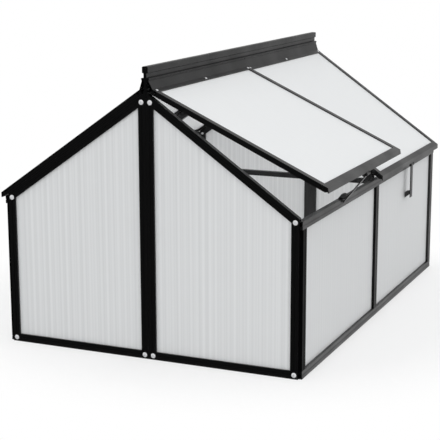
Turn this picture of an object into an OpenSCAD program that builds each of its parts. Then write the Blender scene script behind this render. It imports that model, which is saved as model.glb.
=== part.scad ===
/* [Overall] */
// Length from front gable to rear gable
body_l = 1236; // [900:10:1600]
// Width over the two gable frames
gable_w = 818; // [640:2:1000]
// Height of the top of the eave beams
eave_h = 399.3; // [300:0.5:600]
// Slope of the roof in degrees
roof_pitch = 35; // [28:1:40]

/* [Frame bars] */
// Face width of the frame bars
bar_w = 20.5; // [18:0.5:26]
// Thickness of the frame bars
bar_t = 14; // [12:0.5:18]
// Wall of the hollow in each bar
bar_wall = 2; // [1.2:0.1:2.5]
// Depth of the sheet slot in a bar
slot_d = 6; // [5:0.5:7]
// How far the side walls stand outside the gable frames
wall_step = 9; // [6:0.5:11]
// Face height of the eave beams
beam_h = 20.8; // [18:0.2:28]
// Face width of the side wall posts
post_w = 24; // [20:1:30]
// Distance of the side sills and end posts behind the gable faces
sill_back = 6; // [2:1:10]
// Width of the groove down the face of each bar
groove_w = 2.4; // [1.5:0.1:3]
// Depth of the groove
groove_d = 0.8; // [0.4:0.1:1.2]
// Width of the rafters between the two bays
mid_rafter_w = 20; // [16:1:26]
// Height of the tie bar across the middle
tie_h = 14; // [8:1:16]
// Width of the tie bar
tie_w = 14; // [10:1:20]
// Drop of the tie bar below the top of the eave beams
tie_drop = 2.5; // [1:0.5:6]
// Hairline between two frames bolted side by side
seam = 0.5; // [0.3:0.1:1]

/* [Sheets] */
// Thickness of the twin wall sheets
sheet_t = 4; // [3:0.5:6]
// Depth of the gable sheets behind the face of the frame
sheet_set = 5; // [3:0.5:6]
// Depth of the side sheets behind the outer face of the wall
wall_sheet_set = 8; // [5:0.5:8]
// Length of sheet edge held in a slot
sheet_grip = 5; // [3.5:0.1:5]
// Clearance each side of a sheet in its slot
sheet_clear = 0.2; // [0.1:0.05:0.3]

/* [Ridge] */
// Height of the ridge beam above the rafters' apex
ridge_h = 63.5; // [56:0.5:75]
// Width of the cap along the top of the ridge beam
cap_w = 16; // [12:0.5:20]
// Height of the cap
cap_h = 15.5; // [10:0.5:18]
// Thickness of the upright web under the cap
web_t = 8; // [6:0.5:9]
// Half width of the foot that sits on the rafters
foot_w = 6.5; // [5:0.5:7]
// Thickness of the foot
foot_t = 4; // [3:0.5:6]
// Distance of each hinge axis from the middle of the ridge
hinge_x = 7.4; // [7:0.1:8.4]
// Height of the hinge axes above the rafters' apex
hinge_rise = 30.6; // [28:0.2:34]
// Radius of the bead along each lid
bead_r = 3; // [2.7:0.1:3.4]
// Running clearance round the bead
bead_clear = 0.35; // [0.25:0.05:0.4]
// Wall of the socket round the bead
socket_wall = 1.25; // [1:0.05:1.6]
// Thickness of the neck between bead and lid
neck_t = 1.8; // [1.4:0.1:2]
// Angle through which a closed lid opens
lid_swing = 75; // [60:1:80]

/* [Lids] */
// Thickness of the lid frames
lid_t = 13.4; // [12:0.2:16]
// Height of the lid underside above the rafters
lid_lift = 0.5; // [0.4:0.1:1.5]
// Visible width of the lid side rails
lid_rail_w = 19; // [14:0.5:24]
// Depth of the lid sheets below the top of the lid frames
lid_sheet_set = 2.9; // [2:0.1:5]
// Visible width of the lid bottom rails
lid_bottom_w = 17; // [15:0.5:22]
// Overhang of the lid nose past the eave beam
lid_nose = 13; // [12:0.5:16]
// Drop of the lid nose below the top of the eave beam
nose_drop = 5.3; // [3:0.1:7]
// Thickness of the skirt under the nose
skirt_t = 2.5; // [1.5:0.1:3]
// Overhang of the lids past the gable faces
lid_over = 0; // [0:0.5:5]
// Gap between the two lids of one side
lid_gap = 3; // [2:0.5:6]
// Clearance between a lid and the bar it closes on
seat_gap = 0.3; // [0.2:0.05:0.6]

/* [Stays] */
// Width of the stays
stay_w = 20; // [14:1:26]
// Thickness of the stays
stay_t = 2.5; // [2:0.1:3]
// Length of a stay from pin to foot
stay_len = 87.5; // [84:0.5:96]
// Length of the foot that stands on the eave beam
stay_foot = 21; // [16:0.5:21]
// Distance of a standing stay's foot outside the eave beam
stay_stand = 10; // [8:0.5:11]
// Gap between a stay's tail and the eave beam
tail_gap = 1.3; // [0.5:0.1:2]
// Radius of the stay pins
pin_r = 1.9; // [1.5:0.1:2.2]
// Clearance of a stay on its pin
pin_clear = 0.2; // [0.1:0.05:0.3]
// Wall of the eye round the pin
eye_wall = 1.5; // [1.2:0.1:1.6]
// Thickness of the two ears that hold a pin
ear_t = 3; // [2:0.5:4]

/* [Bolts] */
// Diameter of the bolt heads
head_d = 13; // [10:0.5:15]
// Height of the bolt heads
head_h = 3; // [2:0.1:4]
// Diameter of the bolt shanks
bolt_d = 5; // [4:0.5:5]
// Clearance of a shank in its hole
bolt_clear = 0.4; // [0.2:0.1:0.6]
// Height of the upper bolts above the rafters' lower edge
bolt_up = 8; // [7:0.5:10]
// Distance of the apex bolts from the middle
apex_bolt_x = 12; // [11:0.5:12.5]

/* [Hidden] */
$fn = 48;
over = 1;

// Places that follow from the sizes
half_l = body_l / 2;
half_w = gable_w / 2;
wall_x = half_w + wall_step;
inner_x = wall_x - bar_t;
slot_w = sheet_t + 2 * sheet_clear;
apex_z = eave_h + (wall_x * sin(roof_pitch) - lid_lift + seat_gap) / cos(roof_pitch);
low_apex_z = apex_z - bar_w / cos(roof_pitch);
beam_z = eave_h - beam_h;
bolt_x = half_w - bar_w / 2;
bolt_z = bar_w / 2;
grip_rise = sheet_grip / cos(roof_pitch);

// Hinge axis of the right lids as [x, z]
hinge = [hinge_x, apex_z + hinge_rise];

// Lid section along the slope, measured from the ridge line and the rafters' top
lid_top = lid_lift + lid_t;
lid_sheet_n = lid_top - lid_sheet_set - sheet_t;
base_t = 9;
base_w = 13.5;
side_t = base_t + base_w;
nose_x = wall_x + lid_nose;
nose_t = (nose_x - lid_top * sin(roof_pitch)) / cos(roof_pitch);
bottom_t = nose_t - lid_bottom_w;
nose_z = eave_h - nose_drop;
ledge_x = wall_x + 3.5;
ledge_z = slope_z(ledge_x, lid_lift);
lid_y0 = -half_l - lid_over;
lid_y1 = -lid_gap / 2;
stay_y = (lid_y0 + lid_y1) / 2;

// Neck of a closed lid, from its bead into the rail, and the socket's open side
socket_r = bead_r + bead_clear;
neck_foot = on_slope(base_t + neck_t, lid_top - neck_t);
neck_angle = bearing(neck_foot - hinge);
mouth_spare = asin((neck_t / 2 + bead_clear) / socket_r);
mouth_low = neck_angle - mouth_spare;
mouth_high = neck_angle + lid_swing + mouth_spare;

// Stay and pin
eye_r = pin_r + pin_clear + eye_wall;
ear_r = eye_r + 0.6;
ear_gap = 0.5;
pin = [nose_x - 1, nose_z - eye_r - ear_gap];

// The lid stands propped where a stay reaches from its pin to the spot for its foot
foot_spot = [wall_x + stay_stand, eave_h + seat_gap + stay_t / 2];
pin_reach = norm(pin - hinge);
foot_reach = norm(foot_spot - hinge);
stay_spread = acos((pin_reach * pin_reach + foot_reach * foot_reach - stay_len * stay_len)
    / (2 * pin_reach * foot_reach));
prop_angle = bearing(foot_spot - hinge) + stay_spread - bearing(pin - hinge);
pin_open = turned(pin, hinge, prop_angle);
prop_lean = 90 - bearing(pin_open - foot_spot);
stay_tail = (stay_stand - tail_gap - stay_t / 2) / sin(prop_lean);

// Nut behind each bolt
nut_d = 8;
nut_h = 4;

// A point [x, z] turned up about a centre, as a right lid opens
function turned(p, c, a) = [
    c[0] + (p[0] - c[0]) * cos(a) - (p[1] - c[1]) * sin(a),
    c[1] + (p[0] - c[0]) * sin(a) + (p[1] - c[1]) * cos(a)
];

// The direction of [x, z], turning up from the right
function bearing(v) = atan2(v[1], v[0]);

// The point [x, z] at a distance t down the slope and n above the rafters' top
function on_slope(t, n) = [
    t * cos(roof_pitch) + n * sin(roof_pitch),
    apex_z - t * sin(roof_pitch) + n * cos(roof_pitch)
];

// The height at x of a line n above the rafters' top
function slope_z(x, n) = apex_z + (n - x * sin(roof_pitch)) / cos(roof_pitch);

// Sweeps a section drawn as (x, z) along Y
module along_y(y0, y1) {
    translate([0, y1, 0]) rotate([90, 0, 0]) linear_extrude(y1 - y0) children();
}

// Sweeps a section drawn as (y, z) along X
module along_x(x0, x1) {
    translate([x0, 0, 0]) rotate([90, 0, 90]) linear_extrude(x1 - x0) children();
}

// Sweeps a section drawn as (x, y) along Z
module along_z(z0, z1) {
    translate([0, 0, z0]) linear_extrude(z1 - z0) children();
}

// Swaps the two axes of a section
module swapped() {
    mirror([1, -1]) children();
}

module at_left() {
    mirror([1, 0, 0]) children();
}

module at_rear() {
    mirror([0, 1, 0]) children();
}

// Moves the origin from the middle of the footprint to the middle of the front sill
module placed() {
    translate([0, half_l - bar_t / 2, 0]) children();
}

// Turns a level build into one lying on the right slope
module on_roof() {
    translate([0, 0, apex_z]) rotate([0, roof_pitch, 0]) children();
}

// Opens a right lid about its hinge axis
module opened(angle) {
    translate([hinge[0], 0, hinge[1]])
        rotate([0, -angle, 0])
            translate([-hinge[0], 0, -hinge[1]])
                children();
}

// Section of a frame bar: outer edge at u = 0, sheet slot at the far edge, grooved face at v = 0
module bar_section(width, set) {
    difference() {
        square([width, bar_t]);
        translate([width - slot_d, set - sheet_clear]) square([slot_d + over, slot_w]);
        translate([bar_wall, bar_wall + groove_d])
            square([width - slot_d - 2 * bar_wall, bar_t - 2 * bar_wall - groove_d]);
        translate([(width - groove_w) / 2, -over]) square([groove_w, over + groove_d]);
    }
}

// Clearance holes for the four bolts of the front right half frame
module bolt_holes() {
    for (p = bolt_places())
        translate([p[0], -half_l - over, p[1]])
            rotate([-90, 0, 0])
                cylinder(d = bolt_d + bolt_clear, h = bar_t + 2 * over);
}

function bolt_places() = [
    [bolt_x, bolt_z],
    [apex_bolt_x, bolt_z],
    [bolt_x, low_apex_z - bolt_x * tan(roof_pitch) + bolt_up],
    [apex_bolt_x, low_apex_z - apex_bolt_x * tan(roof_pitch) + bolt_up]
];

// Front right half frame, one bar to a module
module gable_sill() {
    color("#141516") difference() {
        along_x(seam / 2, half_w)
            translate([-half_l, 0]) swapped() bar_section(bar_w, sheet_set);
        bolt_holes();
    }
}

module gable_corner_post() {
    color("#141516") intersection() {
        along_z(bar_w, apex_z)
            translate([half_w, -half_l]) mirror([1, 0]) bar_section(bar_w, sheet_set);
        under_rafter();
    }
}

module gable_centre_post() {
    color("#141516") intersection() {
        along_z(bar_w, apex_z)
            translate([seam / 2, -half_l]) bar_section(bar_w, sheet_set);
        under_rafter();
    }
}

// The space below the lower edge of the right rafter
module under_rafter() {
    along_y(-half_l - over, half_l + over)
        polygon([
            [0, 0],
            [half_w + over, 0],
            [half_w + over, low_apex_z - (half_w + over) * tan(roof_pitch)],
            [0, low_apex_z]
        ]);
}

module gable_rafter() {
    color("#141516") difference() {
        intersection() {
            on_roof()
                along_x(-bar_w, wall_x / cos(roof_pitch))
                    translate([-half_l, 0]) mirror([0, 1]) swapped() bar_section(bar_w, sheet_set);
            translate([seam / 2, -half_l - over, 0])
                cube([half_w - seam / 2, body_l, apex_z + over]);
        }
        bolt_holes();
    }
}

module gable_panel() {
    low = bar_w - sheet_grip;
    inner = seam / 2 + bar_w - sheet_grip;
    outer = half_w - bar_w + sheet_grip;
    color("#d9dbdb")
        along_y(-half_l + sheet_set, -half_l + sheet_set + sheet_t)
            polygon([
                [inner, low],
                [outer, low],
                [outer, low_apex_z - outer * tan(roof_pitch) + grip_rise],
                [inner, low_apex_z - inner * tan(roof_pitch) + grip_rise]
            ]);
}

module gable_bolts() {
    for (p = bolt_places())
        for (side = [-1, 1])
            translate([side * p[0], -half_l, p[1]]) bolt();
}

// Domed bolt with a hexagon socket, standing on the face Y = 0
module bolt() {
    dome_r = (head_d * head_d / 4 + head_h * head_h) / (2 * head_h);
    color("#c9cbcd") rotate([90, 0, 0]) {
        difference() {
            intersection() {
                translate([0, 0, head_h - dome_r]) sphere(r = dome_r);
                cylinder(d = head_d, h = head_h);
            }
            translate([0, 0, head_h / 2]) cylinder(d = bolt_d * 0.8, h = head_h, $fn = 6);
        }
        translate([0, 0, -bar_t - nut_h]) cylinder(d = bolt_d, h = bar_t + nut_h + over);
        translate([0, 0, -bar_t - nut_h]) cylinder(d = nut_d, h = nut_h, $fn = 6);
    }
}

// Right side wall
// Keeps the inner part of a long bar between the gables, with its outer lip running past them
module past_gables() {
    difference() {
        children();
        for (y = [-half_l - over, half_l - bar_t])
            translate([0, y, -over]) cube([half_w, bar_t + over, apex_z]);
    }
}

module wall_sill() {
    color("#1b1c1d") past_gables()
        along_y(-half_l + sill_back, half_l - sill_back)
            translate([wall_x, 0]) mirror([1, 0]) swapped() bar_section(bar_w, wall_sheet_set);
}

module eave_beam() {
    color("#1b1c1d") past_gables()
        along_y(-half_l, half_l)
            translate([wall_x, eave_h])
                rotate(180) swapped() bar_section(beam_h, wall_sheet_set);
}

// Post lapping the edge of the front gable, its slot facing back
module wall_end_post() {
    color("#1b1c1d") past_gables()
        along_z(bar_w, beam_z)
            translate([wall_x, -half_l + sill_back])
                mirror([1, 0]) swapped() bar_section(post_w, wall_sheet_set);
}

// Post between the two bays, with a slot on each side
module wall_mid_post() {
    color("#1b1c1d") along_z(bar_w, beam_z)
        translate([wall_x, 0]) mirror([1, 0]) difference() {
            translate([0, -post_w / 2]) square([bar_t, post_w]);
            for (side = [0, 1])
                mirror([0, side])
                    translate([wall_sheet_set - sheet_clear, post_w / 2 - slot_d])
                        square([slot_w, slot_d + over]);
            translate([bar_wall + groove_d, -post_w / 2 + slot_d + bar_wall])
                square([bar_t - 2 * bar_wall - groove_d, post_w - 2 * (slot_d + bar_wall)]);
            translate([-over, -groove_w / 2]) square([over + groove_d, groove_w]);
        }
}

module wall_panel_front() {
    low = bar_w - sheet_grip;
    y0 = -half_l + sill_back + post_w - sheet_grip;
    y1 = -post_w / 2 + sheet_grip;
    color("#cfd1d1")
        translate([wall_x - wall_sheet_set - sheet_t, y0, low])
            cube([sheet_t, y1 - y0, beam_z + sheet_grip - low]);
}

// Middle of the roof
module mid_rafter() {
    color("#141516") intersection() {
        on_roof()
            along_x(-bar_w, wall_x / cos(roof_pitch))
                translate([-mid_rafter_w / 2, -bar_w]) difference() {
                    square([mid_rafter_w, bar_w]);
                    translate([bar_wall, bar_wall])
                        square([mid_rafter_w - 2 * bar_wall, bar_w - 2 * bar_wall]);
                }
        translate([seam / 2, -mid_rafter_w, 0])
            cube([inner_x - seam / 2, 2 * mid_rafter_w, apex_z + over]);
    }
}

module tie_bar() {
    color("#141516") intersection() {
        translate([-inner_x, -tie_w / 2, eave_h - tie_drop - tie_h])
            cube([2 * inner_x, tie_w, tie_h]);
        union() {
            under_rafter();
            at_left() under_rafter();
        }
    }
}

// Ridge beam: foot, web, cap and a hinge socket along each side
module ridge_beam() {
    color("#2a2b2c") along_y(-half_l, half_l) {
        ridge_half();
        mirror([1, 0]) ridge_half();
    }
}

module ridge_half() {
    top = apex_z + ridge_h;
    bevel = 2;
    difference() {
        union() {
            polygon([
                [0, apex_z],
                [foot_w, slope_z(foot_w, 0)],
                [foot_w, slope_z(foot_w, 0) + foot_t],
                [web_t / 2, slope_z(web_t / 2, 0) + foot_t + bevel],
                [web_t / 2, top - cap_h - bevel],
                [cap_w / 2, top - cap_h],
                [cap_w / 2, top - bevel],
                [cap_w / 2 - bevel, top],
                [0, top]
            ]);
            translate(hinge) circle(r = socket_r + socket_wall);
        }
        translate(hinge) circle(r = socket_r);
        translate(hinge) socket_mouth();
    }
}

// Open side of a socket, wide enough for the neck to swing with the lid
module socket_mouth() {
    reach = socket_r + 3 * socket_wall;
    middle = (mouth_low + mouth_high) / 2;
    polygon([
        [0, 0],
        reach * [cos(mouth_low), sin(mouth_low)],
        1.5 * reach * [cos(middle), sin(middle)],
        reach * [cos(mouth_high), sin(mouth_high)]
    ]);
}

// Front right lid, closed: bead, neck and the rail that holds the sheet
module lid_hinge_rail() {
    color("#232425") along_y(lid_y0, lid_y1) {
        translate(hinge) {
            circle(r = bead_r);
            rotate(neck_angle)
                translate([0, -neck_t / 2]) square([norm(neck_foot - hinge), neck_t]);
        }
        polygon([
            on_slope(base_t, lid_lift),
            on_slope(side_t, lid_lift),
            on_slope(side_t, lid_sheet_n - sheet_clear),
            on_slope(side_t - slot_d, lid_sheet_n - sheet_clear),
            on_slope(side_t - slot_d, lid_sheet_n + sheet_t + sheet_clear),
            on_slope(side_t, lid_sheet_n + sheet_t + sheet_clear),
            on_slope(side_t, lid_top),
            on_slope(base_t, lid_top)
        ]);
    }
}

// Section (y, n) of a side rail with its outer edge at y = 0
module side_rail_section() {
    difference() {
        translate([0, lid_lift]) square([lid_rail_w, lid_t]);
        translate([lid_rail_w - slot_d, lid_sheet_n - sheet_clear]) square([slot_d + over, slot_w]);
    }
}

module lid_side_rails() {
    color("#1b1c1d") on_roof() along_x(side_t, bottom_t) {
        translate([lid_y0, 0]) side_rail_section();
        translate([lid_y1, 0]) mirror([1, 0]) side_rail_section();
    }
}

module lid_panel() {
    color("#e6e8e8") on_roof()
        translate([side_t - sheet_grip, lid_y0 + lid_rail_w - sheet_grip, lid_sheet_n])
            cube([
                bottom_t - side_t + 2 * sheet_grip,
                lid_y1 - lid_y0 - 2 * (lid_rail_w - sheet_grip),
                sheet_t
            ]);
}

// Bottom rail with its nose, skirt, ears and stay pin
module lid_bottom_rail() {
    color("#1b1c1d") {
        along_y(lid_y0, lid_y1) bottom_rail_section();
        for (side = [-1, 1])
            along_y(ear_start(side), ear_start(side) + ear_t) ear_outline();
        along_y(ear_start(-1), ear_start(1) + ear_t) translate(pin) circle(r = pin_r);
    }
}

function ear_start(side) = stay_y + (side < 0 ? -stay_w / 2 - ear_gap - ear_t : stay_w / 2 + ear_gap);

module bottom_rail_section() {
    polygon([
        on_slope(bottom_t, lid_lift),
        on_slope(bottom_t, lid_sheet_n - sheet_clear),
        on_slope(bottom_t + slot_d, lid_sheet_n - sheet_clear),
        on_slope(bottom_t + slot_d, lid_sheet_n + sheet_t + sheet_clear),
        on_slope(bottom_t, lid_sheet_n + sheet_t + sheet_clear),
        on_slope(bottom_t, lid_top),
        on_slope(nose_t, lid_top),
        [nose_x, nose_z],
        [nose_x - skirt_t, nose_z],
        [nose_x - skirt_t, ledge_z],
        [ledge_x, ledge_z]
    ]);
}

module ear_outline() {
    translate(pin) circle(r = ear_r);
    polygon([
        [pin[0] - ear_r, pin[1]],
        [pin[0] + ear_r, pin[1]],
        [nose_x, nose_z + ear_t],
        [nose_x, ledge_z + ear_t],
        [pin[0] - ear_r, ledge_z + ear_t]
    ]);
}

// Stay hanging from its pin at the origin: eye, strip, tail and foot
module stay_outline() {
    difference() {
        union() {
            circle(r = eye_r);
            translate([-stay_t / 2, -stay_len - stay_tail])
                square([stay_t, stay_len + stay_tail]);
            translate([0, -stay_len - stay_tail]) circle(d = stay_t);
            translate([0, -stay_len]) rotate(180 + prop_lean)
                translate([0, -stay_t / 2]) square([stay_foot, stay_t]);
        }
        circle(r = pin_r + pin_clear);
    }
}

module stay(at, lean) {
    color("#1b1c1d")
        translate([at[0], 0, at[1]])
            rotate([0, lean, 0])
                along_y(stay_y - stay_w / 2, stay_y + stay_w / 2)
                    stay_outline();
}

module hanging_stay() {
    stay(pin, 0);
}

module propped_stay() {
    stay(pin_open, prop_lean);
}

placed() ridge_beam();
placed() at_left() mid_rafter();  // mid_rafter_left
placed() mid_rafter();  // mid_rafter_right
placed() tie_bar();

placed() at_left() gable_sill();  // front_sill_left
placed() gable_sill();  // front_sill_right
placed() at_left() gable_corner_post();  // front_corner_post_left
placed() gable_corner_post();  // front_corner_post_right
placed() at_left() gable_centre_post();  // front_centre_post_left
placed() gable_centre_post();  // front_centre_post_right
placed() at_left() gable_rafter();  // front_rafter_left
placed() gable_rafter();  // front_rafter_right
placed() at_left() gable_panel();  // front_panel_left
placed() gable_panel();  // front_panel_right
placed() gable_bolts();  // front_bolts

placed() at_left() at_rear() gable_sill();  // rear_sill_left
placed() at_rear() gable_sill();  // rear_sill_right
placed() at_left() at_rear() gable_corner_post();  // rear_corner_post_left
placed() at_rear() gable_corner_post();  // rear_corner_post_right
placed() at_left() at_rear() gable_centre_post();  // rear_centre_post_left
placed() at_rear() gable_centre_post();  // rear_centre_post_right
placed() at_left() at_rear() gable_rafter();  // rear_rafter_left
placed() at_rear() gable_rafter();  // rear_rafter_right
placed() at_left() at_rear() gable_panel();  // rear_panel_left
placed() at_rear() gable_panel();  // rear_panel_right
placed() at_rear() gable_bolts();  // rear_bolts

placed() at_left() wall_sill();  // left_sill
placed() at_left() wall_end_post();  // left_front_post
placed() at_left() wall_mid_post();  // left_mid_post
placed() at_left() at_rear() wall_end_post();  // left_rear_post
placed() at_left() wall_panel_front();  // left_panel_front
placed() at_left() at_rear() wall_panel_front();  // left_panel_rear
placed() at_left() eave_beam();  // left_eave_beam

placed() wall_sill();  // right_sill
placed() wall_end_post();  // right_front_post
placed() wall_mid_post();  // right_mid_post
placed() at_rear() wall_end_post();  // right_rear_post
placed() wall_panel_front();  // right_panel_front
placed() at_rear() wall_panel_front();  // right_panel_rear
placed() eave_beam();  // right_eave_beam

placed() opened(prop_angle) lid_hinge_rail();  // lid_fr_hinge_rail
placed() opened(prop_angle) lid_side_rails();  // lid_fr_side_rails
placed() opened(prop_angle) lid_bottom_rail();  // lid_fr_bottom_rail
placed() opened(prop_angle) lid_panel();  // lid_fr_panel
placed() propped_stay();  // stay_fr

placed() at_rear() lid_hinge_rail();  // lid_rr_hinge_rail
placed() at_rear() lid_side_rails();  // lid_rr_side_rails
placed() at_rear() lid_bottom_rail();  // lid_rr_bottom_rail
placed() at_rear() lid_panel();  // lid_rr_panel
placed() at_rear() hanging_stay();  // stay_rr

placed() at_left() lid_hinge_rail();  // lid_fl_hinge_rail
placed() at_left() lid_side_rails();  // lid_fl_side_rails
placed() at_left() lid_bottom_rail();  // lid_fl_bottom_rail
placed() at_left() lid_panel();  // lid_fl_panel
placed() at_left() hanging_stay();  // stay_fl

placed() at_left() at_rear() lid_hinge_rail();  // lid_rl_hinge_rail
placed() at_left() at_rear() lid_side_rails();  // lid_rl_side_rails
placed() at_left() at_rear() lid_bottom_rail();  // lid_rl_bottom_rail
placed() at_left() at_rear() lid_panel();  // lid_rl_panel
placed() at_left() at_rear() hanging_stay();  // stay_rl
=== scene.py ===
import math

import bmesh
import bpy
from mathutils import Matrix, Vector


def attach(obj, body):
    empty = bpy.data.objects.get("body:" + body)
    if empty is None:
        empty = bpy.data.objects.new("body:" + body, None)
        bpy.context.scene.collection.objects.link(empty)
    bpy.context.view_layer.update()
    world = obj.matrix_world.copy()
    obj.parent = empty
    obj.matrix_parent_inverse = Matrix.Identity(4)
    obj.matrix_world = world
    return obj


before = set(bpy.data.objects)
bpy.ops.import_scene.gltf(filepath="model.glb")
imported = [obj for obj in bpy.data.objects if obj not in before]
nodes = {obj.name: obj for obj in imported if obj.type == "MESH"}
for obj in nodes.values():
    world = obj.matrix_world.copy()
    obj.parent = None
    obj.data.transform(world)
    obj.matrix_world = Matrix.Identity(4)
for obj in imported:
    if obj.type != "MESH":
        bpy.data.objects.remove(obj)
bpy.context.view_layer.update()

# Camera
# It stands in front of the right half of the front gable, a little above the
# ridge, at the photograph's viewing angle.
camera_at = Vector((1.4576, -2.8774, 1.0748))
camera_yaw, camera_pitch, camera_roll = -0.41256, -0.21648, -0.00248
sensor = 36.0
frame_px = 440.0
focal_px = 1302.7
view_depth = 100.0

ahead = Vector((
    math.sin(camera_yaw) * math.cos(camera_pitch),
    math.cos(camera_yaw) * math.cos(camera_pitch),
    math.sin(camera_pitch),
))
level = Vector((math.cos(camera_yaw), -math.sin(camera_yaw), 0.0))
upward = level.cross(ahead)
side = level * math.cos(camera_roll) + upward * math.sin(camera_roll)
top = upward * math.cos(camera_roll) - level * math.sin(camera_roll)
lens = bpy.data.cameras.new("photo_lens")
lens.sensor_width = sensor
lens.lens = sensor * focal_px / frame_px
lens.clip_end = view_depth
camera = bpy.data.objects.new("photo_camera", lens)
camera.matrix_world = Matrix((
    (side.x, top.x, -ahead.x, camera_at.x),
    (side.y, top.y, -ahead.y, camera_at.y),
    (side.z, top.z, -ahead.z, camera_at.z),
    (0.0, 0.0, 0.0, 1.0),
))
bpy.context.scene.collection.objects.link(camera)
bpy.context.scene.camera = camera
bpy.context.scene.view_settings.view_transform = "Standard"

# Studio
# A pale floor that fades to white away from the greenhouse, an even white room
# with its dark side behind the camera, and one broad soft lamp above the right side.
world = bpy.data.worlds.new("white_room")
bpy.context.scene.world = world
world.use_nodes = True
room = world.node_tree
room.nodes.clear()
room_out = room.nodes.new("ShaderNodeOutputWorld")
room_light = room.nodes.new("ShaderNodeBackground")
room_light.inputs["Color"].default_value = (0.98, 0.99, 1.0, 1.0)
room_light.inputs["Strength"].default_value = 1.0
room_white = room.nodes.new("ShaderNodeBackground")
room_white.inputs["Color"].default_value = (1.0, 1.0, 1.0, 1.0)
room_white.inputs["Strength"].default_value = 1.0
room_path = room.nodes.new("ShaderNodeLightPath")
seen = room.nodes.new("ShaderNodeMath")
seen.operation = "MAXIMUM"
room_mix = room.nodes.new("ShaderNodeMixShader")
room.links.new(room_path.outputs["Is Camera Ray"], seen.inputs[0])
room.links.new(room_path.outputs["Is Transmission Ray"], seen.inputs[1])
room.links.new(seen.outputs[0], room_mix.inputs["Fac"])
room.links.new(room_light.outputs[0], room_mix.inputs[1])
room.links.new(room_white.outputs[0], room_mix.inputs[2])

# What the glossy faces mirror: white on all sides but the dark one
mirrored = room.nodes.new("ShaderNodeBackground")
mirrored_way = room.nodes.new("ShaderNodeTexCoord")
mirrored_split = room.nodes.new("ShaderNodeSeparateXYZ")
mirrored_tone = room.nodes.new("ShaderNodeMapRange")
mirrored_tone.interpolation_type = "SMOOTHSTEP"
mirrored_tone.inputs["From Min"].default_value = -0.85
mirrored_tone.inputs["From Max"].default_value = -0.15
mirrored_tone.inputs["To Min"].default_value = 0.03
mirrored_tone.inputs["To Max"].default_value = 0.95
mirror_mix = room.nodes.new("ShaderNodeMixShader")
room.links.new(mirrored_way.outputs["Generated"], mirrored_split.inputs[0])
room.links.new(mirrored_split.outputs["Y"], mirrored_tone.inputs["Value"])
room.links.new(mirrored_tone.outputs["Result"], mirrored.inputs["Strength"])
room.links.new(room_path.outputs["Is Glossy Ray"], mirror_mix.inputs["Fac"])
room.links.new(room_mix.outputs[0], mirror_mix.inputs[1])
room.links.new(mirrored.outputs[0], mirror_mix.inputs[2])
room.links.new(mirror_mix.outputs[0], room_out.inputs["Surface"])

key = bpy.data.lights.new("soft_key", "AREA")
key.shape = "DISK"
key.size = 3.2
key.energy = 18.0
key_lamp = bpy.data.objects.new("soft_key", key)
key_lamp.location = (2.6, -1.4, 3.6)
lamp_aim = Vector((0.0, 0.6, 0.3)) - key_lamp.location
key_lamp.rotation_euler = lamp_aim.to_track_quat("-Z", "Y").to_euler()
key_lamp.visible_transmission = False
bpy.context.scene.collection.objects.link(key_lamp)

floor_half = 30.0
floor_drop = 0.0005
floor_mesh = bpy.data.meshes.new("floor")
floor_mesh.from_pydata(
    [(-floor_half, -floor_half, 0.0), (floor_half, -floor_half, 0.0),
     (floor_half, floor_half, 0.0), (-floor_half, floor_half, 0.0)],
    [], [(0, 1, 2, 3)])
floor = bpy.data.objects.new("floor", floor_mesh)
floor.location = (0.0, 0.6, -floor_drop)
bpy.context.scene.collection.objects.link(floor)

# The floor's paint, which fades to white and is mirrored with the same dark side
floor_paint = bpy.data.materials.new("pale_floor")
floor_paint.use_nodes = True
floor_tree = floor_paint.node_tree
floor_skin = floor_tree.nodes["Principled BSDF"]
floor_skin.inputs["Base Color"].default_value = (0.82, 0.82, 0.82, 1.0)
floor_skin.inputs["Roughness"].default_value = 0.9
floor_skin.inputs["Specular IOR Level"].default_value = 0.1
floor_white = floor_tree.nodes.new("ShaderNodeEmission")
floor_white.inputs["Strength"].default_value = 1.0
floor_spot = floor_tree.nodes.new("ShaderNodeTexCoord")
floor_reach = floor_tree.nodes.new("ShaderNodeVectorMath")
floor_reach.operation = "LENGTH"
floor_fade = floor_tree.nodes.new("ShaderNodeMapRange")
floor_fade.interpolation_type = "SMOOTHSTEP"
floor_fade.inputs["From Min"].default_value = 0.62
floor_fade.inputs["From Max"].default_value = 1.0
floor_fade.inputs["To Min"].default_value = 0.6
floor_rays = floor_tree.nodes.new("ShaderNodeLightPath")
fade_seen = floor_tree.nodes.new("ShaderNodeMath")
fade_seen.operation = "MULTIPLY"
floor_blend = floor_tree.nodes.new("ShaderNodeMixShader")
floor_dark_side = floor_tree.nodes.new("ShaderNodeMapRange")
floor_dark_side.interpolation_type = "SMOOTHSTEP"
floor_dark_side.inputs["From Min"].default_value = -0.63
floor_dark_side.inputs["From Max"].default_value = -0.55
floor_dark_side.inputs["To Min"].default_value = 0.03
floor_dark_side.inputs["To Max"].default_value = 0.9
floor_mirrored = floor_tree.nodes.new("ShaderNodeEmission")
floor_split = floor_tree.nodes.new("ShaderNodeSeparateXYZ")
floor_gloss_blend = floor_tree.nodes.new("ShaderNodeMixShader")
floor_tree.links.new(floor_spot.outputs["Object"], floor_reach.inputs[0])
floor_tree.links.new(floor_reach.outputs["Value"], floor_fade.inputs["Value"])
floor_tree.links.new(floor_fade.outputs["Result"], fade_seen.inputs[0])
floor_tree.links.new(floor_rays.outputs["Is Camera Ray"], fade_seen.inputs[1])
floor_tree.links.new(fade_seen.outputs[0], floor_blend.inputs["Fac"])
floor_tree.links.new(floor_skin.outputs[0], floor_blend.inputs[1])
floor_tree.links.new(floor_white.outputs[0], floor_blend.inputs[2])
floor_tree.links.new(floor_spot.outputs["Object"], floor_split.inputs[0])
floor_tree.links.new(floor_split.outputs["Y"], floor_dark_side.inputs["Value"])
floor_tree.links.new(floor_dark_side.outputs["Result"], floor_mirrored.inputs["Strength"])
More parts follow.
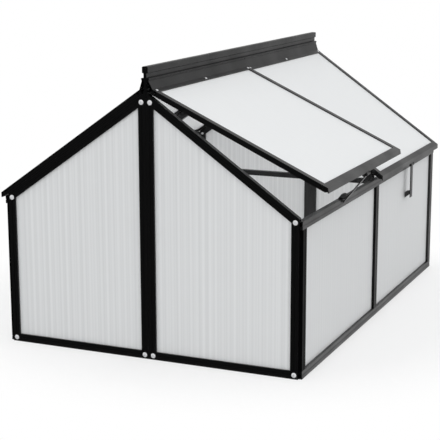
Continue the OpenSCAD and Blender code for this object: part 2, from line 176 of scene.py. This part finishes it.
floor_tree.links.new(floor_rays.outputs["Is Glossy Ray"], floor_gloss_blend.inputs["Fac"])
floor_tree.links.new(floor_blend.outputs[0], floor_gloss_blend.inputs[1])
floor_tree.links.new(floor_mirrored.outputs[0], floor_gloss_blend.inputs[2])
floor_out = floor_tree.nodes["Material Output"]
floor_tree.links.new(floor_gloss_blend.outputs[0], floor_out.inputs["Surface"])
floor.data.materials.append(floor_paint)

# Frame bars
# Extruded aluminium bars with a slot for the sheets, cut square and bolted
# together, with a fine-grained satin black powder coat.
grain = bpy.data.node_groups.new("powder_grain", "ShaderNodeTree")
for name in ("Scale", "Smooth", "Rough"):
    grain.interface.new_socket(name, in_out="INPUT", socket_type="NodeSocketFloat")
for name in ("Roughness", "Height"):
    grain.interface.new_socket(name, in_out="OUTPUT", socket_type="NodeSocketFloat")
grain_in = grain.nodes.new("NodeGroupInput")
grain_out = grain.nodes.new("NodeGroupOutput")
grain_at = grain.nodes.new("ShaderNodeTexCoord")
fine_grain = grain.nodes.new("ShaderNodeTexNoise")
fine_grain.inputs["Detail"].default_value = 3.0
broad_grain = grain.nodes.new("ShaderNodeTexNoise")
broad_grain.inputs["Scale"].default_value = 9.0
broad_grain.inputs["Detail"].default_value = 2.0
gloss_spread = grain.nodes.new("ShaderNodeMapRange")
gloss_spread.inputs["From Min"].default_value = 0.3
gloss_spread.inputs["From Max"].default_value = 0.7
grain.links.new(grain_at.outputs["Object"], fine_grain.inputs["Vector"])
grain.links.new(grain_at.outputs["Object"], broad_grain.inputs["Vector"])
grain.links.new(grain_in.outputs["Scale"], fine_grain.inputs["Scale"])
grain.links.new(broad_grain.outputs["Fac"], gloss_spread.inputs["Value"])
grain.links.new(grain_in.outputs["Smooth"], gloss_spread.inputs["To Min"])
grain.links.new(grain_in.outputs["Rough"], gloss_spread.inputs["To Max"])
grain.links.new(gloss_spread.outputs["Result"], grain_out.inputs["Roughness"])
grain.links.new(fine_grain.outputs["Fac"], grain_out.inputs["Height"])


def powder_coat(name, colour, specular):
    coat = bpy.data.materials.new(name)
    coat.use_nodes = True
    tree = coat.node_tree
    skin = tree.nodes["Principled BSDF"]
    skin.inputs["Base Color"].default_value = colour
    skin.inputs["Specular IOR Level"].default_value = specular
    texture = tree.nodes.new("ShaderNodeGroup")
    texture.node_tree = grain
    texture.inputs["Scale"].default_value = 1400.0
    texture.inputs["Smooth"].default_value = 0.34
    texture.inputs["Rough"].default_value = 0.46
    bump = tree.nodes.new("ShaderNodeBump")
    bump.inputs["Strength"].default_value = 0.12
    bump.inputs["Distance"].default_value = 0.0002
    tree.links.new(texture.outputs["Roughness"], skin.inputs["Roughness"])
    tree.links.new(texture.outputs["Height"], bump.inputs["Height"])
    tree.links.new(bump.outputs["Normal"], skin.inputs["Normal"])
    return coat


deep_black = (0.0022, 0.0022, 0.0024, 1.0)
black_coat = powder_coat("black_powder_coat", deep_black, 0.5)
for part in nodes.values():
    part.data.materials.clear()
    part.data.materials.append(black_coat)

# Side posts
# The upright aluminium bars of the two long sides, between sill and eave beam. The
# mid posts and the front posts get painted shade, deepest on the front posts.
# Painted shade: copies of the black coat that reflect less, so these posts render darker than
# the beams
mid_post_shade_coat = powder_coat("dull_powder_coat", deep_black, 0.13)
front_post_shade_coat = powder_coat("dullest_powder_coat", deep_black, 0.02)
for name, part in nodes.items():
    if name.endswith("_mid_post"):
        part.data.materials[0] = mid_post_shade_coat
    elif name.endswith("_front_post"):
        part.data.materials[0] = front_post_shade_coat

# Ridge
# One long aluminium extrusion along the top of the gables, with a hinge socket down
# each side, and the hinge rails of the four lids, whose beads turn in it. Their coat
# is a little less glossy.
ridge_coat = powder_coat("ridge_powder_coat", (0.0030, 0.0030, 0.0032, 1.0), 0.26)
for name, part in nodes.items():
    if name == "ridge_beam" or name.endswith("_hinge_rail"):
        part.data.materials[0] = ridge_coat

# Stay feet
# Each stay is a slim strut, hung on the pin under its lid's lower edge, with a forked
# foot that stands over the eave beam. A moulded black block, pressed onto the strut,
# stiffens the bend on the inner side of the foot.
block_black = bpy.data.materials.new("moulded_black")
block_black.use_nodes = True
tree = block_black.node_tree
skin = tree.nodes["Principled BSDF"]
skin.inputs["Base Color"].default_value = (0.035, 0.035, 0.035, 1.0)
skin.inputs["Specular IOR Level"].default_value = 0.15
texture = tree.nodes.new("ShaderNodeGroup")
texture.node_tree = grain
texture.inputs["Scale"].default_value = 900.0
texture.inputs["Smooth"].default_value = 0.62
texture.inputs["Rough"].default_value = 0.78
bump = tree.nodes.new("ShaderNodeBump")
bump.inputs["Strength"].default_value = 0.2
bump.inputs["Distance"].default_value = 0.0003
tree.links.new(texture.outputs["Roughness"], skin.inputs["Roughness"])
tree.links.new(texture.outputs["Height"], bump.inputs["Height"])
tree.links.new(bump.outputs["Normal"], skin.inputs["Normal"])

# The block's outline and half width, in millimetres from the pin of a hanging stay
mm = 0.001
block_outline = ((-1.0, -80.0), (-14.0, -82.6), (-17.2, -86.2), (-17.2, -99.6), (-1.0, -86.9))
block_half = 9.8
block_round = 1.2
stay_lean = math.radians(38.1295)
mirror = Matrix.Scale(-1.0, 4, (1.0, 0.0, 0.0))
stay_pins = {
    "stay_fr": (482.026, 301.25, 469.679), "stay_rr": (430.0, 920.75, 389.9),
    "stay_fl": (430.0, 301.25, 389.9), "stay_rl": (430.0, 920.75, 389.9),
}
for name, pin in stay_pins.items():
    block = bmesh.new()
    near = [block.verts.new((x, -block_half, z)) for x, z in block_outline]
    far = [block.verts.new((x, block_half, z)) for x, z in block_outline]
    block.faces.new(near)
    block.faces.new(list(reversed(far)))
    for here in range(len(block_outline)):
        after = (here + 1) % len(block_outline)
        block.faces.new((near[after], near[here], far[here], far[after]))
    bmesh.ops.bevel(
        block, geom=block.edges[:], offset=block_round, segments=3, affect="EDGES", profile=0.5)
    place = Matrix.Translation(pin)
    if name == "stay_fr":
        place = place @ Matrix.Rotation(stay_lean, 4, "Y")
    place = Matrix.Scale(mm, 4) @ place
    if name.endswith("l"):
        place = mirror @ place
    bmesh.ops.transform(block, matrix=place, verts=block.verts)
    bmesh.ops.recalc_face_normals(block, faces=block.faces)
    block_mesh = bpy.data.meshes.new(name + "_foot_block")
    block.to_mesh(block_mesh)
    block.free()
    block_mesh.materials.append(block_black)
    foot_block = bpy.data.objects.new(name + "_foot_block", block_mesh)
    bpy.context.scene.collection.objects.link(foot_block)
    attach(foot_block, name)

# Sheets
# Frosted twin-wall polycarbonate, 4 mm thick, slid into the slots of the bars. The
# fine ribs between its two skins show as faint, slightly uneven stripes. From a few
# paces the stripes seem to stand about three ribs apart, so every third is lighter.
ribs = bpy.data.node_groups.new("twin_wall_ribs", "ShaderNodeTree")
for name in ("Across", "Pitch", "Width"):
    ribs.interface.new_socket(name, in_out="INPUT", socket_type="NodeSocketFloat")
ribs.interface.new_socket("Shade", in_out="OUTPUT", socket_type="NodeSocketFloat")
ribs_in = ribs.nodes.new("NodeGroupInput")
ribs_out = ribs.nodes.new("NodeGroupOutput")
rib_count = ribs.nodes.new("ShaderNodeMath")
rib_count.operation = "DIVIDE"
rib_wave = ribs.nodes.new("ShaderNodeMath")
rib_wave.operation = "PINGPONG"
rib_wave.inputs[1].default_value = 0.5
rib_edge = ribs.nodes.new("ShaderNodeMapRange")
rib_edge.interpolation_type = "SMOOTHSTEP"
rib_edge.inputs["To Min"].default_value = 1.0
rib_edge.inputs["To Max"].default_value = 0.0
ribs.links.new(ribs_in.outputs["Across"], rib_count.inputs[0])
ribs.links.new(ribs_in.outputs["Pitch"], rib_count.inputs[1])
ribs.links.new(rib_count.outputs[0], rib_wave.inputs[0])
ribs.links.new(rib_wave.outputs[0], rib_edge.inputs["Value"])
ribs.links.new(ribs_in.outputs["Width"], rib_edge.inputs["From Max"])

# Every third rib is lighter, and broad streaks run through them all
streak = ribs.nodes.new("ShaderNodeTexNoise")
streak.noise_dimensions = "1D"
streak.inputs["Scale"].default_value = 95.0
streak.inputs["Detail"].default_value = 2.0
streak.inputs["Roughness"].default_value = 0.4
streak_spread = ribs.nodes.new("ShaderNodeMapRange")
streak_spread.inputs["From Min"].default_value = 0.32
streak_spread.inputs["From Max"].default_value = 0.68
third_rib = ribs.nodes.new("ShaderNodeMath")
third_rib.operation = "PINGPONG"
third_rib.inputs[1].default_value = 1.5
third_rib_edge = ribs.nodes.new("ShaderNodeMapRange")
third_rib_edge.interpolation_type = "SMOOTHSTEP"
third_rib_edge.inputs["From Min"].default_value = 0.1
third_rib_edge.inputs["From Max"].default_value = 0.6
ribs.links.new(rib_count.outputs[0], third_rib.inputs[0])
ribs.links.new(third_rib.outputs[0], third_rib_edge.inputs["Value"])
rib_shade = ribs.nodes.new("ShaderNodeMath")
rib_shade.operation = "MULTIPLY_ADD"
rib_shade.inputs[1].default_value = 0.2
third_rib_shade = ribs.nodes.new("ShaderNodeMath")
third_rib_shade.operation = "MULTIPLY_ADD"
third_rib_shade.inputs[1].default_value = 0.4
streak_shade = ribs.nodes.new("ShaderNodeMath")
streak_shade.operation = "MULTIPLY"
streak_shade.inputs[1].default_value = 0.4
ribs.links.new(ribs_in.outputs["Across"], streak.inputs["W"])
ribs.links.new(streak.outputs["Fac"], streak_spread.inputs["Value"])
ribs.links.new(streak_spread.outputs["Result"], streak_shade.inputs[0])
ribs.links.new(third_rib_edge.outputs["Result"], third_rib_shade.inputs[0])
ribs.links.new(streak_shade.outputs[0], third_rib_shade.inputs[2])
ribs.links.new(rib_edge.outputs["Result"], rib_shade.inputs[0])
ribs.links.new(third_rib_shade.outputs[0], rib_shade.inputs[2])
ribs.links.new(rib_shade.outputs[0], ribs_out.inputs["Shade"])

# The ribs stand 5.7 mm apart, and a rib's shade fades out over 0.3 of that distance
rib_pitch = 0.0057
rib_width = 0.3

# A Mix node's colour sockets go by number, as its other sockets bear the same names
colour_a, colour_b, colour_out = 6, 7, 2


def twin_wall(name, axis, clear, ribbed):
    sheet = bpy.data.materials.new(name)
    sheet.use_nodes = True
    tree = sheet.node_tree
    skin = tree.nodes["Principled BSDF"]
    skin.inputs["Roughness"].default_value = 0.65
    skin.inputs["IOR"].default_value = 1.3
    skin.inputs["Specular IOR Level"].default_value = 0.3
    skin.inputs["Transmission Weight"].default_value = 0.2
    place = tree.nodes.new("ShaderNodeTexCoord")
    split = tree.nodes.new("ShaderNodeSeparateXYZ")
    stripe = tree.nodes.new("ShaderNodeGroup")
    stripe.node_tree = ribs
    stripe.inputs["Pitch"].default_value = rib_pitch
    stripe.inputs["Width"].default_value = rib_width
    tone = tree.nodes.new("ShaderNodeMix")
    tone.data_type = "RGBA"
    tone.inputs[colour_a].default_value = clear
    tone.inputs[colour_b].default_value = ribbed
    passing = tree.nodes.new("ShaderNodeBsdfTransparent")
    ray = tree.nodes.new("ShaderNodeLightPath")
    unseen = tree.nodes.new("ShaderNodeMath")
    unseen.operation = "MAXIMUM"
    share = tree.nodes.new("ShaderNodeMath")
    share.operation = "MULTIPLY"
    share.inputs[1].default_value = 0.9
    daylight = tree.nodes.new("ShaderNodeMixShader")
    tree.links.new(ray.outputs["Is Diffuse Ray"], unseen.inputs[0])
    tree.links.new(ray.outputs["Is Shadow Ray"], unseen.inputs[1])
    tree.links.new(unseen.outputs[0], share.inputs[0])
    tree.links.new(share.outputs[0], daylight.inputs["Fac"])
    tree.links.new(skin.outputs[0], daylight.inputs[1])
    tree.links.new(passing.outputs[0], daylight.inputs[2])
    tree.links.new(daylight.outputs[0], tree.nodes["Material Output"].inputs["Surface"])
    tree.links.new(place.outputs["Object"], split.inputs[0])
    tree.links.new(split.outputs[axis], stripe.inputs["Across"])
    tree.links.new(stripe.outputs["Shade"], tone.inputs["Factor"])
    tree.links.new(tone.outputs[colour_out], skin.inputs["Base Color"])
    return sheet


# One frosted sheet in three tones: the roof copy is painted lighter as light falling from above,
# the side wall copy darker as painted shade
gable_sheet = twin_wall("gable_sheet", "X", (0.795, 0.80, 0.80, 1.0), (0.685, 0.69, 0.69, 1.0))
wall_sheet = twin_wall("wall_sheet", "Y", (0.705, 0.71, 0.71, 1.0), (0.665, 0.67, 0.67, 1.0))
roof_sheet = twin_wall("roof_sheet", "Y", (0.828, 0.833, 0.833, 1.0), (0.808, 0.813, 0.813, 1.0))
for name, part in nodes.items():
    if name.startswith(("front_panel_", "rear_panel_")):
        part.data.materials[0] = gable_sheet
    elif name.startswith("lid_") and name.endswith("_panel"):
        part.data.materials[0] = roof_sheet
    elif "_panel_" in name:
        part.data.materials[0] = wall_sheet

# Gable bolts
# Zinc plated button-head bolts, one through each corner of the gable frames,
# with a nut behind.
zinc = bpy.data.materials.new("bright_zinc")
zinc.use_nodes = True
tree = zinc.node_tree
skin = tree.nodes["Principled BSDF"]
skin.inputs["Base Color"].default_value = (0.84, 0.84, 0.85, 1.0)
skin.inputs["Metallic"].default_value = 0.2
texture = tree.nodes.new("ShaderNodeGroup")
texture.node_tree = grain
texture.inputs["Scale"].default_value = 600.0
texture.inputs["Smooth"].default_value = 0.22
texture.inputs["Rough"].default_value = 0.34
tree.links.new(texture.outputs["Roughness"], skin.inputs["Roughness"])
for name in ("front_bolts", "rear_bolts"):
    nodes[name].data.materials[0] = zinc

# Hinge rail screws
# Three small zinc screws along each hinge rail, through the rail into the ends of
# the side rails and into the middle of the sheet's edge.

# The seat of a head is given from the apex of the roof, in metres down and up the rail
roof_slope = math.radians(35.0)
apex_height = 0.6917426
rail_down, rail_up = 0.0165, 0.0139
sunk = 0.0003
propped = math.radians(10.1625)
hinge_axis = Vector((0.0074, 0.0, 0.7223426))
swing = (Matrix.Translation(hinge_axis) @ Matrix.Rotation(-propped, 4, "Y")
         @ Matrix.Translation(-hinge_axis))

# A head's rings by radius and height, in metres, up to the rim of its hexagon socket
head_rings = (
    (0.0036, 0.0), (0.0036, 0.0010), (0.0031, 0.0017), (0.0022, 0.0021), (0.0013, 0.0022))
rim = head_rings[-1]
socket_deep = 0.0012
around = 24
sixth = math.pi / 3.0
screw_ys = {"f": (0.006, 0.3013, 0.5965), "r": (0.6255, 0.9208, 1.216)}
for side_name in ("r", "l"):
    for bay, places in screw_ys.items():
        heads = bmesh.new()
        for y in places:
            seat = Vector((
                rail_down * math.cos(roof_slope) + rail_up * math.sin(roof_slope),
                y,
                apex_height - rail_down * math.sin(roof_slope) + rail_up * math.cos(roof_slope),
            ))
            rings = []
            for radius, height in head_rings:
                ring = []
                for step in range(around):
                    turn = 2.0 * math.pi * step / around
                    out = radius
                    if (radius, height) == rim:
                        out = radius / math.cos(turn % sixth - sixth / 2.0)
                    ring.append(heads.verts.new(
                        (out * math.cos(turn), out * math.sin(turn), height - sunk)))
                rings.append(ring)
            rings.append([
                heads.verts.new((v.co.x, v.co.y, rim[1] - socket_deep)) for v in rings[-1]])
            for lower, upper in zip(rings, rings[1:]):
                for step in range(around):
                    following = (step + 1) % around
                    heads.faces.new(
                        (lower[step], lower[following], upper[following], upper[step]))
            heads.faces.new(list(reversed(rings[0])))
            heads.faces.new(rings[-1])
            lay = Matrix.Translation(seat) @ Matrix.Rotation(roof_slope, 4, "Y")
            fresh = [v for ring in rings for v in ring]
            bmesh.ops.transform(heads, matrix=lay, verts=fresh)
        if (side_name, bay) == ("r", "f"):
            bmesh.ops.transform(heads, matrix=swing, verts=heads.verts)
        if side_name == "l":
            bmesh.ops.transform(heads, matrix=mirror, verts=heads.verts)
        bmesh.ops.recalc_face_normals(heads, faces=heads.faces)
        lid_name = "lid_" + bay + side_name
        screw_mesh = bpy.data.meshes.new(lid_name + "_screws")
        heads.to_mesh(screw_mesh)
        heads.free()
        screw_mesh.materials.append(zinc)
        screws = bpy.data.objects.new(lid_name + "_screws", screw_mesh)
        bpy.context.scene.collection.objects.link(screws)
        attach(screws, lid_name)
